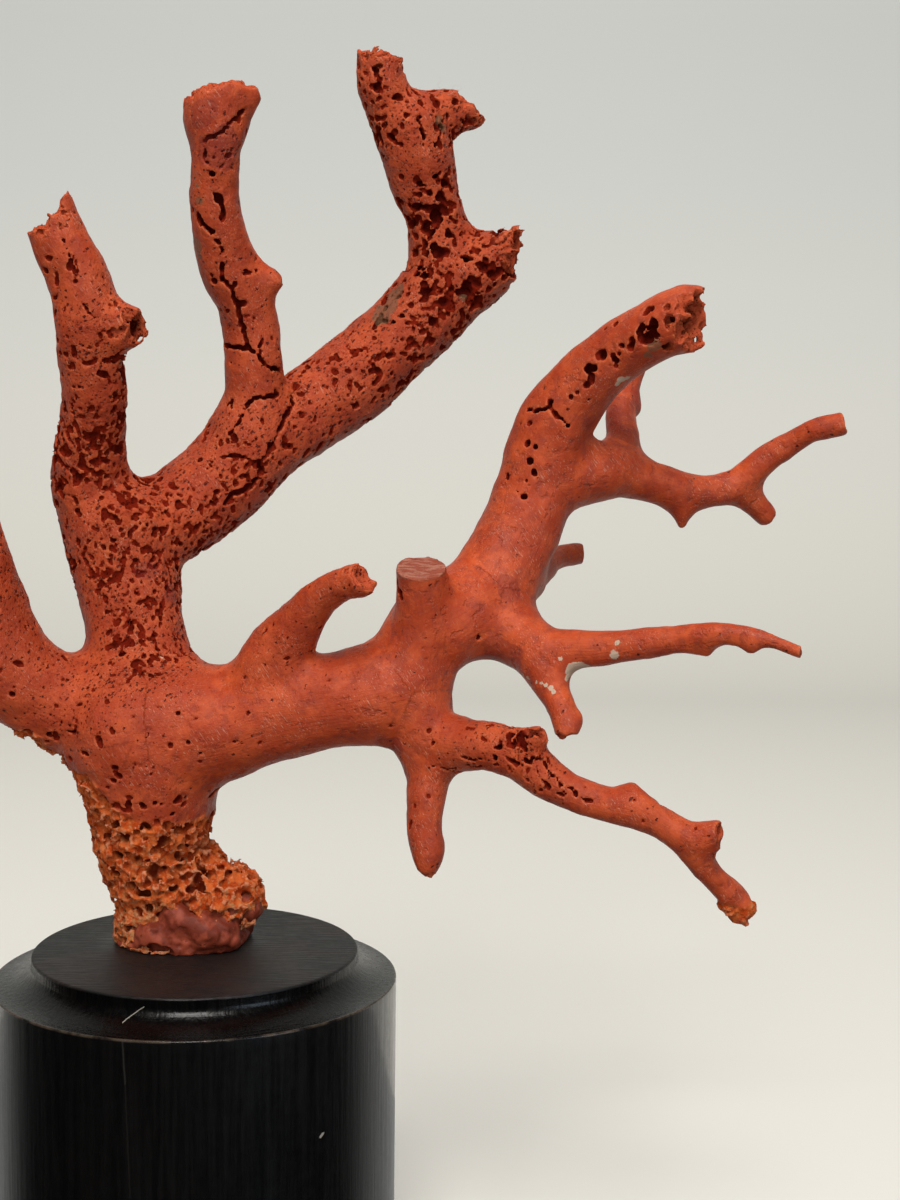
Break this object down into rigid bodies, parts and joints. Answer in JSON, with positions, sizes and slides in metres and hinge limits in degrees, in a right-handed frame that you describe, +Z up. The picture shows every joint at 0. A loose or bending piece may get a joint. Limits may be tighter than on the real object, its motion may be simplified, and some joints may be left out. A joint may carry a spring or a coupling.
{
  "type": "mounted red coral",
  "caption": "A branch of red coral with pitted limbs, a smooth arm and broken tips, standing on a spongy foot in red filler on a turned black wooden plinth.",
  "frame": {"origin": "the middle of the plinth's flat foot, at the height of the surface that it stands on", "axes": "+Z up along the plinth's turning axis; the coral spreads along X, with the longer arm towards +X; -Y is the front that the picture shows"},
  "size_m": [0.2271, 0.0986, 0.2834],
  "materials": {
    "black_wood": "ebonised, satin polish",
    "red_filler": "smooth wax or cement, satin",
    "coral_sponge": "crumbly and porous, matte",
    "coral_pitted": "pitted and cracked, satin on the skin",
    "coral_skin": "finely striated, satin"
  },
  "bodies": {
    "root": {"plinth": "black_wood", "foot_filler": "red_filler", "coral_foot": "coral_sponge", "trunk": "coral_pitted", "left_horn": "coral_pitted", "diagonal_limb": "coral_pitted", "upper_limb": "coral_pitted", "crown": "coral_pitted", "crown_stub": "coral_pitted", "middle_stem": "coral_pitted", "left_branch": "coral_pitted", "left_upper_tip": "coral_pitted", "left_outer_tip": "coral_pitted", "right_arm": "coral_skin", "arm_finger": "coral_skin", "right_branch": "coral_skin", "side_branch": "coral_skin", "side_tip": "coral_skin", "upper_twig": "coral_skin", "rear_twig": "coral_skin", "middle_twig": "coral_skin", "middle_prong": "coral_skin", "lower_branch": "coral_skin", "lower_tail": "coral_skin", "hanging_stub": "coral_skin"}
  },
  "joints": []
}
